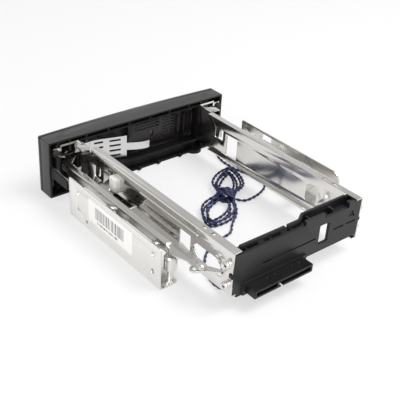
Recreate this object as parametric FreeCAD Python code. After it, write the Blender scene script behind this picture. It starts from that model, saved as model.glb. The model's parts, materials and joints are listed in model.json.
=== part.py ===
import FreeCAD
import Part
import math
import os

# A trayless hot swap cage: a 5.25-inch bay frame that takes one bare 3.5-inch drive.
# While it is built, Y = 0 is the back of the bezel, Z = 0 is the surface that the cage
# stands on, and X runs to the right as seen from the front. Lengths are millimetres.

# Driving dimensions ------------------------------------------------------------------
BEZEL_WIDTH = 148.0
BEZEL_HEIGHT = 41.5
FRONT_ENDS = -13.1
FRONT_CROWN = -15.4
FASCIA_THICKNESS = 3.0
WALL = 2.0

SHEET = 0.8
DRIVE_WIDTH = 101.6
RAIL_INSIDE = DRIVE_WIDTH / 2 + 0.3
RAIL_OUTSIDE = RAIL_INSIDE + SHEET
RAIL_BOTTOM = 9.5
RAIL_TOP = 39.0
RAIL_REAR = 158.0
DRIVE_FLOOR = RAIL_BOTTOM + SHEET

BAY_HALF = 73.0
HOLE_PITCH = 79.25
HOLE_LOW = 9.9
HOLE_HIGH = 21.84
FIRST_HOLE = 35.0
NEAR_BRACKET_TOP = 28.4
FAR_BRACKET_TOP = 31.0
BRACKET_FRONT = 24.0
BRACKET_REAR = 121.5
M3_CLEARANCE = 1.6

HINGE_X = 62.0
HINGE_Y = -9.7
HINGE_PIN_RADIUS = 0.9
DOOR_END_RADIUS = 5.5
DOOR_LOW_X = -65.65
DOOR_BOTTOM = 4.85
DOOR_TOP = 37.15
ARM_RADIUS = 5.5
ARM_REST = 130.0
BAR_TRAVEL = ARM_RADIUS * (math.sin(math.radians(ARM_REST)) - math.sin(math.radians(ARM_REST + 90)))

BAR_TOP = 28.0
BAR_OUTER = 66.3
BAR_INNER = 62.3
WEB_TOP = 22.2
LINK_PIN_X = 57.9
LINK_PIN_Y = 138.5
LEVER_PIVOT_X = 24.0
LEVER_PIVOT_Y = 149.0
LEVER_TOP = 21.1
LEVER_BOTTOM = 19.9

PLUG_LOW_X = -3.6
PLUG_HIGH_X = 41.8
PLUG_BOTTOM = 9.4
PLUG_TOP = 14.7
PLUG_REAR = 167.0
BOARD_FRONT = 153.4
BOARD_BACK = 155.0

CENTRE_Y = (FRONT_CROWN + PLUG_REAR) / 2


# Shape helpers -----------------------------------------------------------------------
def point(x, y, z):
    return FreeCAD.Vector(x, y, z)


def box(x_low, x_high, y_low, y_high, z_low, z_high):
    size = (x_high - x_low, y_high - y_low, z_high - z_low)
    return Part.makeBox(*size, point(x_low, y_low, z_low))


def rod(axis, radius, x, y, z, length):
    """A round bar that starts at (x, y, z) and runs along +axis."""
    directions = {"x": point(1, 0, 0), "y": point(0, 1, 0), "z": point(0, 0, 1)}
    return Part.makeCylinder(radius, length, point(x, y, z), directions[axis])


def in_plane(plane, u, v, w):
    """The space point of (u, v) drawn in a plane, lifted by w along its normal."""
    return {"xy": point(u, v, w), "xz": point(u, w, v), "yz": point(w, u, v)}[plane]


def corner_arc(before, corner, after, radius):
    """Tangent points and middle of the arc that rounds one corner of an outline."""
    back = (before - corner).normalize()
    ahead = (after - corner).normalize()
    half = back.getAngle(ahead) / 2
    reach = radius / math.tan(half)
    middle_line = (back + ahead).normalize()
    middle = corner + middle_line * (radius / math.sin(half) - radius)
    return corner + back * reach, middle, corner + ahead * reach


def rounded_wire(corners, plane, level):
    """A closed wire through corners (u, v, radius); radius 0 keeps a corner sharp."""
    places = [in_plane(plane, u, v, level) for u, v, radius in corners]
    stops = []
    for index, (u, v, radius) in enumerate(corners):
        here = places[index]
        if radius > 0:
            after = places[(index + 1) % len(places)]
            stops.append(corner_arc(places[index - 1], here, after, radius))
        else:
            stops.append((here, None, here))
    edges = []
    for index, (start, middle, end) in enumerate(stops):
        if middle:
            edges.append(Part.Arc(start, middle, end).toShape())
        following = stops[(index + 1) % len(stops)][0]
        if end.distanceToPoint(following) > 1e-6:
            edges.append(Part.LineSegment(end, following).toShape())
    return Part.Wire(edges)


def slab(corners, plane, low, high):
    """A flat plate: a rounded outline drawn in a plane, thick from low to high."""
    face = Part.Face(rounded_wire(corners, plane, low))
    return face.extrude(in_plane(plane, 0, 0, high - low))


def panel(u_low, u_high, v_low, v_high, radius, plane, low, high):
    """A rectangular plate with its four corners rounded."""
    corners = [(u_low, v_low), (u_high, v_low), (u_high, v_high), (u_low, v_high)]
    return slab([(u, v, radius) for u, v in corners], plane, low, high)


def folded(path, thickness, bend, plane, low, high):
    """A folded sheet: a bent centre line drawn in a plane, carried from low to high."""
    sides = {1: [], -1: []}
    for index, (u, v) in enumerate(path):
        legs = []
        if index > 0:
            legs.append((u - path[index - 1][0], v - path[index - 1][1]))
        if index < len(path) - 1:
            legs.append((path[index + 1][0] - u, path[index + 1][1] - v))
        normals = [(-b / math.hypot(a, b), a / math.hypot(a, b)) for a, b in legs]
        across = (sum(n[0] for n in normals), sum(n[1] for n in normals))
        scale = across[0] * normals[0][0] + across[1] * normals[0][1]
        turn = 0
        if len(legs) == 2:
            turn = legs[0][0] * legs[1][1] - legs[0][1] * legs[1][0]
        for side in sides:
            radius = 0
            if turn * side > 0:
                radius = bend
            elif turn * side < 0:
                radius = bend + thickness
            offset = side * thickness / 2 / scale
            sides[side].append((u + across[0] * offset, v + across[1] * offset, radius))
    return slab(sides[1] + sides[-1][::-1], plane, low, high)


def fuse(shapes):
    result = shapes[0].fuse(shapes[1:]) if len(shapes) > 1 else shapes[0]
    return result.removeSplitter()


def mirrored(shape):
    """The same piece for the other side of the cage."""
    return shape.mirror(point(0, 0, 0), point(1, 0, 0))


def turned(shape, angle, x, y):
    result = shape.copy()
    result.rotate(point(x, y, 0), point(0, 0, 1), angle)
    return result


def save(name, shape):
    """Moves a piece to the frame whose origin is under the middle of the cage."""
    placed = shape.copy()
    placed.translate(point(0, -CENTRE_Y, 0))
    placed.exportStep(f"parts/{name}.step")
    print(name, "solids", len(placed.Solids), "volume", round(placed.Volume, 1))


# Bezel and door, both with a front that is crowned from end to end ---------------------
HEADER_BOTTOM = 36.8
SILL_TOP = DRIVE_FLOOR
JAMB = RAIL_INSIDE + 0.2
ARM_LOW, ARM_HIGH = 17.4, 24.0
FRAME_BOSSES = ((69.0, 33.8), (57.2, 13.2))
BOSS_BACK = 0.2
VENT_PITCH = 2.3
VENT_HEIGHT = 1.1


def crowned(x_low, x_high, z_low, z_high, inset, back):
    """The body between the crowned front, moved back by inset, and a flat back."""
    half = BEZEL_WIDTH / 2
    end_y = FRONT_ENDS + inset
    front = Part.Arc(point(-half, end_y, z_low), point(0, FRONT_CROWN + inset, z_low),
                     point(half, end_y, z_low)).toShape()
    sides = [point(half, end_y, z_low), point(half, back, z_low),
             point(-half, back, z_low), point(-half, end_y, z_low)]
    edges = [front]
    for start, end in zip(sides, sides[1:]):
        edges.append(Part.LineSegment(start, end).toShape())
    body = Part.Face(Part.Wire(edges)).extrude(point(0, 0, z_high - z_low))
    return body.common(box(x_low, x_high, -30, 30, z_low, z_high))


def crowned_plate(x_low, x_high, z_low, z_high):
    """A plate as thick as the fascia that follows the crowned front."""
    plate = crowned(x_low, x_high, z_low, z_high, 0, -8)
    return plate.cut(crowned(x_low - 1, x_high + 1, z_low, z_high, FASCIA_THICKNESS, -7))


def bezel_outline(low, high):
    half = BEZEL_WIDTH / 2
    return panel(-half, half, 0, BEZEL_HEIGHT, 1.0, "xz", low, high)


def door_window(low, high):
    return panel(-66.0, 67.8, 4.5, 37.5, 0.8, "xz", low, high)


def fascia():
    half = BEZEL_WIDTH / 2
    plate = crowned_plate(-half, half, 0, BEZEL_HEIGHT).common(bezel_outline(-30, 0))
    return plate.cut(door_window(-30, 0))


def screw_boss(x, z):
    """A hollow column that takes one self-tapping screw from behind."""
    column = rod("y", 2.6, x, -5.6, z, BOSS_BACK + 5.6)
    return column


def bezel_frame():
    half = BEZEL_WIDTH / 2
    shell = crowned(-half, half, 0, BEZEL_HEIGHT, FASCIA_THICKNESS, 0)
    shell = shell.common(bezel_outline(-30, 0.5))
    cavity = crowned(-half + WALL, half - WALL, 1.6, BEZEL_HEIGHT - 1.6, 4.4, 1)
    shell = shell.cut([cavity, door_window(-30, -7)])
    liner = box(-JAMB - 1.4, JAMB + 1.4, -7.2, 0, SILL_TOP - 1.5, HEADER_BOTTOM + 1.2)
    sill_face = box(-JAMB - 1.4, JAMB + 1.4, -4.6, -3.2, 1.0, SILL_TOP - 1.0)
    sill_floor = box(-JAMB - 1.4, JAMB + 1.4, -7.2, -3.2, SILL_TOP - 1.5, SILL_TOP)
    pieces = [liner, sill_face, sill_floor]
    for step in range(6):
        x = -43.0 + 17.4 * step
        pieces.append(box(x, x + 1.4, -9.0, 0, HEADER_BOTTOM, BEZEL_HEIGHT - 1))
        pieces.append(box(x, x + 1.4, -9.0, -3.4, 1.0, SILL_TOP - 1.0))
    for x in (1.2, -15.8, -35.8):
        tooth = slab([(-4, 0, 0), (1.6, 0, 0), (3.6, 2.4, 0), (-4, 5.4, 0)], "yz", x, x + 1.6)
        pieces.append(tooth)
    for side in (-1, 1):
        for x, z in FRAME_BOSSES:
            pieces.append(screw_boss(side * x, z))
            reach = half - 1 if x > 65 else JAMB + 1
            web = sorted((side * x, side * reach))
            pieces.append(box(web[0], web[1], -5.6, -1.0, z - 0.6, z + 0.6))
            if x < 65:
                pieces.append(box(side * x - 0.6, side * x + 0.6, -5.6, -1.0, 1, z))
    for low, high in ((0.8, DOOR_BOTTOM - 0.35), (DOOR_TOP + 0.35, BEZEL_HEIGHT - 0.8)):
        pieces.append(box(HINGE_X - 4.2, HINGE_X + 4.6, HINGE_Y - 0.8, HINGE_Y + 4.2, low, high))
    ring = rod("z", 6.0, -50.0, -1.6, 0, 3.0)
    groove = rod("z", 4.9, -50.0, -1.6, 2.2, 2).cut(rod("z", 3.6, -50.0, -1.6, 2, 3))
    pieces.append(ring.cut(groove))
    for side in (-1, 1):
        cheek = sorted((side * (half - WALL), side * (BAY_HALF - 0.1)))
        pieces.append(box(cheek[0], cheek[1], -1.0, 20.5, ARM_LOW - 0.6, ARM_HIGH - 0.6))
        oval = panel(side * 61.5 - 2.4, side * 61.5 + 2.4, -6.8, -4.4, 1.1, "xy",
                     BEZEL_HEIGHT - 0.5, BEZEL_HEIGHT + 0.2)
        pieces.append(oval.cut(oval.copy().translated(point(0, 0, 0.4)).common(
            panel(side * 61.5 - 1.8, side * 61.5 + 1.8, -6.2, -5.0, 0.5, "xy", 40, 43))))
    frame = fuse([shell] + pieces)
    cuts = [panel(-JAMB, JAMB, SILL_TOP, HEADER_BOTTOM, 0.8, "xz", -7.3, 8),
            box(-JAMB - 2, JAMB + 2, -3.2, 1, 1.6, SILL_TOP - 1.5).cut(
                rod("z", 6.0, -50.0, -1.6, 0, 3.0)),
            rod("z", HINGE_PIN_RADIUS, HINGE_X, HINGE_Y, 1.6, BEZEL_HEIGHT - 3.2),
            rod("z", 1.4, -50.0, -1.6, -1, 6),
            box(-71.5, -65.8, -9.6, -4.2, 16.2, 25.4)]
    for side in (-1, 1):
        for x, z in FRAME_BOSSES:
            cuts.append(rod("y", 0.9, side * x, BOSS_BACK - 5.4, z, 7))
        cuts.append(rod("x", 1.2, side * 72.75 - 0.85, -3.4, 14.1, 1.7))
    return frame.cut(cuts)


def door_panel():
    plate = crowned_plate(DOOR_LOW_X, HINGE_X, DOOR_BOTTOM, DOOR_TOP)
    end = crowned_plate(HINGE_X - 1, HINGE_X + 8, DOOR_BOTTOM, DOOR_TOP)
    height = DOOR_TOP - DOOR_BOTTOM
    end = end.common(rod("z", DOOR_END_RADIUS, HINGE_X, HINGE_Y, DOOR_BOTTOM, height))
    barrel = rod("z", 3.3, HINGE_X, HINGE_Y, DOOR_BOTTOM, height)
    barrel = barrel.common(crowned(50, 72, 0, 50, 1, 0))
    ribs = []
    for x in (39.4, 47.0, 53.2):
        ribs.append(crowned(x, x + 1.2, 7.0, 35.0, 2, -8.2))
    for x in (-40.5, -46.0, -52.6):
        ribs.append(crowned(x, x + 1.2, 12.5, 29.0, 2, -8.4))
    for z in (7.0, 34.0):
        ribs.append(crowned(-55.0, 54.4, z, z + 1.0, 2, -9.6))
    pad = crowned(36.0, 46.0, 12.5, 29.1, 2, -10.6)
    field = crowned(-40.0, 3.0, 12.0, 35.0, 2, -10.8)
    shield = crowned(4.0, 5.2, 7.0, 35.0, 2, -8.6)
    body = fuse([plate, end, barrel, pad, field, shield] + ribs)
    cuts = [box(35.0, 46.4, -10.6, 0, 12.3, 29.3), rod("z", HINGE_PIN_RADIUS + 0.05, HINGE_X, HINGE_Y, -1, 50)]
    slot_room = rod("z", 6.4, HINGE_X, HINGE_Y, 25.2, 3.6)
    cuts.append(slot_room.cut(crowned_plate(50, 72, 20, 35)))
    for step in range(7):
        z = 15.0 + VENT_PITCH * step
        cuts.append(box(-37.4, -26.6, -20, -8, z, z + VENT_HEIGHT))
    for step in range(4):
        z = 24.6 + VENT_PITCH * step
        cuts.append(box(-23.6, -2.0, -20, -8, z, z + VENT_HEIGHT))
    cuts.append(panel(-18.6, -16.0, 17.2, 22.2, 0.6, "xz", -20, -8))
    cuts.append(panel(-64.2, -55.8, 15.5, 26.0, 1.2, "xz", -20, -8))
    for z in (31.0, 34.0):
        cuts.append(rod("y", 1.0, -62.5, -20, z, 12))
    return body.cut(cuts)


def pressure_spring():
    """A stainless leaf: a slotted plate that leans off the door and a curved tongue."""
    lean = [(36.0, -10.35), (31.0, -9.9), (22.0, -7.6), (14.0, -5.4), (9.4, -4.3)]
    tongue = [(9.4, -4.3), (4.0, -1.6), (-1.0, 0.2), (-6.7, 0.6)]
    parts = []
    for line, low, high in ((lean, 11.6, 28.0), (tongue, 16.6, 22.2)):
        curve = Part.BSplineCurve()
        curve.interpolate([point(x, y, low) for x, y in line])
        near = curve.toShape()
        far = near.copy()
        far.translate(point(0.2, 0.4, 0))
        ends = [Part.LineSegment(near.Vertexes[i].Point, far.Vertexes[i].Point).toShape()
                for i in (0, 1)]
        wire = Part.Wire(Part.__sortEdges__([near, ends[1], far, ends[0]]))
        parts.append(Part.Face(wire).extrude(point(0, 0, high - low)))
    foot = box(35.5, 46.0, -10.6, -10.1, 12.5, 27.8)
    leaf = fuse(parts + [foot])
    slots = []
    for step in range(4):
        z = 13.2 + 3.9 * step
        slots.append(box(26.4, 33.0, -14, 4, z, z + 1.4))
        slots.append(box(14.0, 22.0, -14, 4, z, z + 1.4))
    return leaf.cut(slots)


def spring_rivets():
    heads = []
    for z in (17.0, 24.6):
        head = Part.makeSphere(2.0, point(41.5, -11.3, z))
        heads.append(head.common(rod("y", 1.6, 41.5, -10.1, z, 2)))
    return Part.makeCompound(heads)


def capsule(x1, y1, r1, x2, y2, r2, low, high):
    """A flat link with round ends of radius r1 and r2 around two centres."""
    thickness = high - low
    first = rod("z", r1, x1, y1, low, thickness)
    second = rod("z", r2, x2, y2, low, thickness)
    length = math.hypot(x2 - x1, y2 - y1)
    heading = math.atan2(y2 - y1, x2 - x1)
    lean = math.acos((r1 - r2) / length)
    corners = []
    for x, y, radius, sign in ((x1, y1, r1, 1), (x1, y1, r1, -1), (x2, y2, r2, -1),
                               (x2, y2, r2, 1)):
        angle = heading + sign * lean
        corners.append((x + radius * math.cos(angle), y + radius * math.sin(angle), 0))
    return fuse([first, slab(corners, "xy", low, high), second])


ARM_TOP = 26.7
ARM_BOTTOM = 25.5
ARM_PIN_X = HINGE_X + ARM_RADIUS * math.cos(math.radians(ARM_REST))
ARM_PIN_Y = HINGE_Y + ARM_RADIUS * math.sin(math.radians(ARM_REST))


def door_arm():
    arm = capsule(HINGE_X, HINGE_Y, 2.9, ARM_PIN_X, ARM_PIN_Y, 2.1, ARM_BOTTOM, ARM_TOP)
    return arm.cut(rod("z", HINGE_PIN_RADIUS + 0.05, HINGE_X, HINGE_Y, 20, 10))


def arm_pin():
    return rod("z", 1.0, ARM_PIN_X, ARM_PIN_Y, ARM_TOP, 1.9)


def hinge_pin():
    return rod("z", HINGE_PIN_RADIUS, HINGE_X, HINGE_Y, 1.6, BEZEL_HEIGHT - 3.2)


def indicator_lenses():
    return Part.makeCompound([rod("y", 1.0, -62.5, -14.0, z, 3.4) for z in (31.0, 34.0)])


# Door latch --------------------------------------------------------------------------


def latch_slider():
    """The sliding catch, unlocked: a ridged pad in front and a plate behind it."""
    pad = box(-60.9, -56.2, -14.1, -10.4, 16.0, 25.5)
    ridges = []
    for step in range(3):
        ridges.append(box(-60.4 + 1.5 * step, -59.8 + 1.5 * step, -14.6, -14.0, 16.8, 24.7))
    plate = panel(-62.0, -52.8, 14.2, 27.3, 0.8, "xz", -10.45, -9.45)
    return fuse([pad, plate] + ridges)


def catch_hook():
    """The steel hook on the back of the slider, with a ramp in front of its tip."""
    outline = [(-56.0, -9.45, 0), (-56.0, -8.4, 0.4), (-59.0, -7.4, 0), (-65.2, -7.4, 0.3),
               (-65.2, -8.0, 0), (-63.4, -8.7, 0), (-61.6, -9.45, 0)]
    return slab(outline, "xy", 18.4, 23.1)


# Side rails --------------------------------------------------------------------------
FLANGE = 5.4
SIDE_SCREW_Y = 154.6
SIDE_SCREW_Z = (16.6, 30.4)
LEDGE = 3.8
RAIL_MIDDLE = RAIL_INSIDE + SHEET / 2


def rail_blank():
    """The folded channel that both sides share, for the +X side."""
    wall_bottom = RAIL_BOTTOM + SHEET / 2
    wall_top = RAIL_TOP - SHEET / 2
    profile = [(RAIL_OUTSIDE - LEDGE, wall_bottom), (RAIL_MIDDLE, wall_bottom),
               (RAIL_MIDDLE, wall_top), (RAIL_OUTSIDE - FLANGE, wall_top)]
    rail = folded(profile, SHEET, 0.5, "xz", 17.0, RAIL_REAR)
    front_wall = box(RAIL_INSIDE, RAIL_OUTSIDE, 0.6, 17.5, RAIL_BOTTOM, RAIL_TOP - 1)
    pieces = [rail, front_wall]
    for x, z in FRAME_BOSSES:
        low = max(RAIL_BOTTOM, z - 4.0)
        high = min(RAIL_TOP, z + 4.6)
        end = min(x + 3.4, BEZEL_WIDTH / 2 - WALL - 1.6)
        tab_path = [(RAIL_MIDDLE, 8.0), (RAIL_MIDDLE, BOSS_BACK + SHEET / 2),
                    (end, BOSS_BACK + SHEET / 2)]
        tab = folded(tab_path, SHEET, 0.5, "xy", low, high)
        if x > 65:
            tab = tab.cut([box(54.6, 64.6, -2, 4, low + 1.3, high - 1.3),
                           box(65.2, 80, -2, 4, z + 3.0, z + 8), box(65.2, 80, -2, 4, z - 8, z - 3.0)])
        pieces.append(tab.cut(rod("y", 1.5, x, -2, z, 6)))
    hook_path = [(RAIL_MIDDLE, 33.0), (RAIL_MIDDLE, RAIL_TOP - SHEET / 2),
                 (RAIL_OUTSIDE + 6.0, RAIL_TOP - SHEET / 2)]
    pieces.append(folded(hook_path, SHEET, 0.5, "xz", 8.0, 16.2))
    rail = fuse(pieces)
    lance = panel(20.8, 29.6, 21.0, 29.2, 0.8, "yz", 50, 53)
    tongue = box(50, 53, 23.6, 27.0, 23.2, 30)
    cuts = [lance.cut(tongue), panel(33.6, 45.0, 11.6, 28.0, 0.8, "yz", 50, 53)]
    cuts.append(box(50, 53, 15.2, 17.0, RAIL_TOP - 3, RAIL_TOP + 1))
    for y in (128.0, 136.0):
        cuts.append(box(47.6, 49.6, y, y + 2.6, RAIL_TOP - 2, RAIL_TOP + 1))
    for z in SIDE_SCREW_Z:
        cuts.append(rod("x", 1.3, 50, SIDE_SCREW_Y, z, 3))
    notch = [(155.4, 21.6, 1.2), (160.0, 21.6, 0), (160.0, 25.2, 0), (155.4, 25.2, 0.6)]
    cuts.append(slab(notch, "yz", 50, 53))
    return rail.cut(cuts)


def near_side_rail():
    """The rail beside the link bar, with a window that the eject lever reaches through."""
    lever_window = [(123.0, 24.6, 2.0), (131.0, 17.4, 3.0), (147.0, 17.4, 2.4),
                    (150.6, 21.0, 1.0), (150.6, 23.0, 1.0), (144.0, 28.2, 2.0),
                    (127.0, 28.2, 2.0)]
    cuts = [slab(lever_window, "yz", 50, 53)]
    cuts.append(panel(111.4, 121.4, 15.6, 29.8, 0.8, "yz", 50, 53))
    bead = rod("y", 0.8, RAIL_OUTSIDE - 0.25, 72.0, 33.6, 55.0)
    bead = bead.fuse([Part.makeSphere(0.8, point(RAIL_OUTSIDE - 0.25, y, 33.6))
                      for y in (72.0, 127.0)])
    return rail_blank().cut(cuts).fuse(bead.common(box(51.5, 54, 60, 140, 30, 40)))


def far_side_rail():
    cuts = [panel(112.4, 122.6, 14.6, 28.0, 0.8, "yz", 50, 53)]
    tab_hole = [(127.0, 22.6, 0.6), (134.8, 22.6, 0.6), (134.8, 30.4, 0.6), (127.0, 30.4, 0.6)]
    cuts.append(slab(tab_hole, "yz", 50, 53))
    tab = [(127.6, 22.4, 0), (134.2, 22.4, 0), (134.2, 26.6, 0)]
    return mirrored(rail_blank().cut(cuts).fuse(slab(tab, "yz", RAIL_INSIDE, RAIL_OUTSIDE)))


# Mounting brackets -------------------------------------------------------------------
# The bracket's tongue narrows to an arm between these heights where it leaves the bezel.
def bracket(top, front, rear, corner):
    """An angle with a wide foot, on the +X side, that bolts to the walls of a drive bay."""
    middle = BAY_HALF - SHEET / 2
    foot_end = 58.6
    profile = [(foot_end, SHEET / 2), (middle, SHEET / 2), (middle, top)]
    angle = folded(profile, SHEET, 0.5, "xz", front, rear)
    plan = [(foot_end - 1, front, 0), (80, front, 0), (80, rear, 0), (foot_end - 1, rear, 5.5)]
    side = [(front, -1, 0), (rear, -1, 0), (rear, top, corner), (front, top, 1.0)]
    angle = angle.common(slab(plan, "xy", -1, 60)).common(slab(side, "yz", 50, 80))
    tongue_x = BEZEL_WIDTH / 2 - WALL - SHEET / 2
    tongue_path = [(tongue_x, -6.0), (tongue_x, front - 1), (middle, front + 1.4),
                   (middle, front + 6)]
    tongue = folded(tongue_path, SHEET, 0.3, "xy", 9.2, ARM_HIGH).cut(
        [box(60, 80, -10, 0.2, 19.0, ARM_HIGH + 1), box(60, 80, 0.2, front, 9, ARM_LOW)])
    angle = fuse([angle, tongue])
    holes = []
    for y in (FIRST_HOLE, FIRST_HOLE + HOLE_PITCH):
        for z in (HOLE_LOW, HOLE_HIGH):
            holes.append(rod("x", M3_CLEARANCE, 70, y, z, 5))
    holes.append(rod("x", 1.1, 70, FIRST_HOLE + 9.3, 5.2, 5))
    holes.append(rod("x", 1.3, 70, -3.4, 14.1, 5))
    return angle.cut(holes)


def near_mounting_bracket():
    return bracket(NEAR_BRACKET_TOP, BRACKET_FRONT, BRACKET_REAR, 1.0)


def far_mounting_bracket():
    plain = bracket(FAR_BRACKET_TOP, BRACKET_FRONT + 2, BRACKET_REAR + 1.5, 8.0)
    window = panel(48.6, 57.4, 25.0, 29.2, 0, "yz", 70, 75)
    return mirrored(plain.cut(window))


def bracket_spacers(side):
    """Turned posts that hold a bracket off its rail."""
    posts = []
    for y in (52.0, 100.0):
        post = rod("x", 3.6, RAIL_OUTSIDE, y, 13.8, BAY_HALF - SHEET - RAIL_OUTSIDE)
        posts.append(post)
    group = Part.makeCompound(posts)
    return group if side > 0 else mirrored(group)


def guide_bush(y):
    """A turned roller bush on a stepped post that stands on the bracket's foot."""
    rings = [(0, 9.6), (4.1, 9.6), (4.1, 17.8), (3.4, 18.6), (0, 18.6)]
    places = [point(r, 0, z) for r, z in rings]
    bush = Part.Face(Part.makePolygon(places + [places[0]])).revolve(
        point(0, 0, 0), point(0, 0, 1), 360)
    bush.translate(point(62.4, y, 0))
    return bush


def guide_posts():
    posts = [rod("z", 1.9, 62.4, y, SHEET, 9.6 - SHEET) for y in (66.0, 117.4)]
    return Part.makeCompound(posts)


def guide_block():
    """A white nylon slide block, ribbed on its rear face, clipped to the outside of the rail."""
    body = box(RAIL_OUTSIDE, 55.2, 43.0, 50.0, 22.6, 32.6)
    chamfered = body.makeChamfer(0.6, [edge for edge in body.Edges
                                       if edge.BoundBox.ZLength < 0.01
                                       and edge.BoundBox.XMin > 54.5])
    grooves = [box(x, x + 0.5, 49.5, 51, 22, 34) for x in (52.6, 53.5, 54.4)]
    return chamfered.cut(grooves)


# Link bar and eject lever ------------------------------------------------------------
WEB_INNER = 53.0
WEB_FRONT = 34.0
TAIL_RADIUS = 3.5


def link_bar():
    """A pressed channel: narrow top, tall outer side, wide floor and a flat tail."""
    floor_z = WEB_TOP - SHEET / 2
    side_x = BAR_OUTER - SHEET / 2
    profile = [(BAR_INNER, BAR_TOP - SHEET / 2), (side_x, BAR_TOP - SHEET / 2),
               (side_x, floor_z), (WEB_INNER, floor_z)]
    channel = folded(profile, SHEET, 0.5, "xz", 4.0, 150.0)
    side_shape = [(4.0, 20, 0), (150.0, 20, 0), (150.0, WEB_TOP, 0), (127.5, WEB_TOP, 3.0),
                  (114.5, 29.0, 0), (4.0, 29.0, 0)]
    channel = channel.common(slab(side_shape, "yz", 50, 70))
    tail_end = LINK_PIN_Y + TAIL_RADIUS
    plan = [(BAR_OUTER, 3.0, 0), (BAR_OUTER, 118.0, 8.0),
            (LINK_PIN_X + TAIL_RADIUS, 131.0, 8.0),
            (LINK_PIN_X + TAIL_RADIUS, tail_end, TAIL_RADIUS - 0.01),
            (LINK_PIN_X - TAIL_RADIUS, tail_end, TAIL_RADIUS - 0.01),
            (LINK_PIN_X - TAIL_RADIUS, 124.0, 5.0), (WEB_INNER, 117.0, 4.0),
            (WEB_INNER, 68.6, 0.8), (57.2, 68.6, 2.6), (57.2, 48.2, 2.6),
            (WEB_INNER, 48.2, 0.8), (WEB_INNER, WEB_FRONT, 1.0),
            (BAR_INNER, WEB_FRONT - 4.0, 2.0), (BAR_INNER, 3.0, 0)]
    channel = channel.common(slab(plan, "xy", 0, 40))
    tongue = [(60.8, ARM_PIN_Y - 3.2, 1.5), (60.8, 3.6, 1.0), (64.2, 4.2, 0), (64.2, 9.0, 0),
              (BAR_INNER - 0.6, 9.0, 1.0), (54.0, 1.5, 2.0), (54.0, ARM_PIN_Y - 3.2, 1.5)]
    front = slab(tongue, "xy", BAR_TOP - SHEET, BAR_TOP)
    guide_tab = box(WEB_INNER, WEB_INNER + SHEET, 35.0, 41.0, WEB_TOP - SHEET, 32.6)
    lip = rod("x", 0.7, WEB_INNER + 0.8, 68.8, WEB_TOP, 3.4)
    bar = fuse([channel, front, guide_tab, lip])
    slot = panel(55.2, 59.7, ARM_PIN_Y - 1.6, ARM_PIN_Y + 1.6, 1.2, "xy", 26, 30)
    return bar.cut([slot, rod("z", 1.5, LINK_PIN_X, LINK_PIN_Y, 20, 20)])


def bar_pad():
    """A black slide pad: it fills the notch in the bar's floor and hooks under its edges."""
    pad = slab([(53.4, 48.6, 1.0), (56.8, 48.6, 2.2), (56.8, 67.9, 2.2), (53.4, 67.9, 1.0)],
               "xy", WEB_TOP - SHEET, WEB_TOP)
    flange = slab([(53.4, 47.4, 1.0), (58.4, 47.4, 3.0), (58.4, 69.4, 3.0), (53.4, 69.4, 1.0)],
                  "xy", WEB_TOP - SHEET - 1.2, WEB_TOP - SHEET)
    hollow = panel(54.2, 56.0, 50.0, 57.6, 0.6, "xy", WEB_TOP - 1.4, WEB_TOP + 1)
    second = panel(54.2, 56.0, 58.6, 66.8, 0.6, "xy", WEB_TOP - 1.4, WEB_TOP + 1)
    return fuse([pad, flange]).cut([hollow, second])


def link_rivet():
    """The shouldered rivet at the bar's rear end; its shank runs in the lever's slot."""
    shank = rod("z", 1.5, LINK_PIN_X, LINK_PIN_Y, LEVER_BOTTOM - 0.5,
                WEB_TOP + 0.5 - LEVER_BOTTOM)
    dome = Part.makeSphere(3.4, point(LINK_PIN_X, LINK_PIN_Y, WEB_TOP - 2.2))
    head = dome.common(rod("z", 2.5, LINK_PIN_X, LINK_PIN_Y, WEB_TOP, 3))
    foot = rod("z", 2.4, LINK_PIN_X, LINK_PIN_Y, LEVER_BOTTOM - 1.1, 0.8)
    return fuse([shank, head, foot])


LEVER_REACH = math.hypot(LINK_PIN_X - LEVER_PIVOT_X, LINK_PIN_Y - LEVER_PIVOT_Y)
LEVER_REST = math.degrees(math.atan2(LINK_PIN_Y - LEVER_PIVOT_Y, LINK_PIN_X - LEVER_PIVOT_X))


def eject_lever():
    """A dog-leg lever: it turns on the rear housing and pushes the drive off its socket."""
    inner = capsule(LEVER_PIVOT_X, LEVER_PIVOT_Y, 2.9, 51.0, 147.6, 1.6,
                    LEVER_BOTTOM, LEVER_TOP)
    outer = capsule(51.0, 147.6, 1.6, 57.4, 139.4, 2.9, LEVER_BOTTOM, LEVER_TOP)
    end = capsule(57.4, 138.9, 3.3, 61.3, 137.6, 3.1, LEVER_BOTTOM, LEVER_TOP)
    slot = capsule(LEVER_PIVOT_X + LEVER_REACH - 0.3, LEVER_PIVOT_Y, 1.85,
                   LEVER_PIVOT_X + LEVER_REACH + 3.2, LEVER_PIVOT_Y, 1.8501, 15, 30)
    slot = turned(slot, LEVER_REST, LEVER_PIVOT_X, LEVER_PIVOT_Y)
    bore = rod("z", 1.55, LEVER_PIVOT_X, LEVER_PIVOT_Y, 15, 10)
    return fuse([inner, outer, end]).cut([slot, bore])


def lever_pivot_screw():
    """A shouldered screw that holds the lever up against its lug."""
    shank = rod("z", 1.5, LEVER_PIVOT_X, LEVER_PIVOT_Y, LEVER_BOTTOM - 0.3, 5.0)
    head = rod("z", 2.8, LEVER_PIVOT_X, LEVER_PIVOT_Y, LEVER_BOTTOM - 1.5, 1.2)
    recess = box(LEVER_PIVOT_X - 1.7, LEVER_PIVOT_X + 1.7, LEVER_PIVOT_Y - 0.3,
                 LEVER_PIVOT_Y + 0.3, LEVER_BOTTOM - 2, LEVER_BOTTOM - 0.9)
    return fuse([shank, head]).cut([recess, turned(recess, 90, LEVER_PIVOT_X, LEVER_PIVOT_Y)])


# Rear housing, board and connectors --------------------------------------------------
REAR_INSIDE = 156.0
NEAR_LIP = 152.8
FAR_LIP = 149.0
SHELF_Z = 31.5
HOUSING_TOP = 39.0


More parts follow.
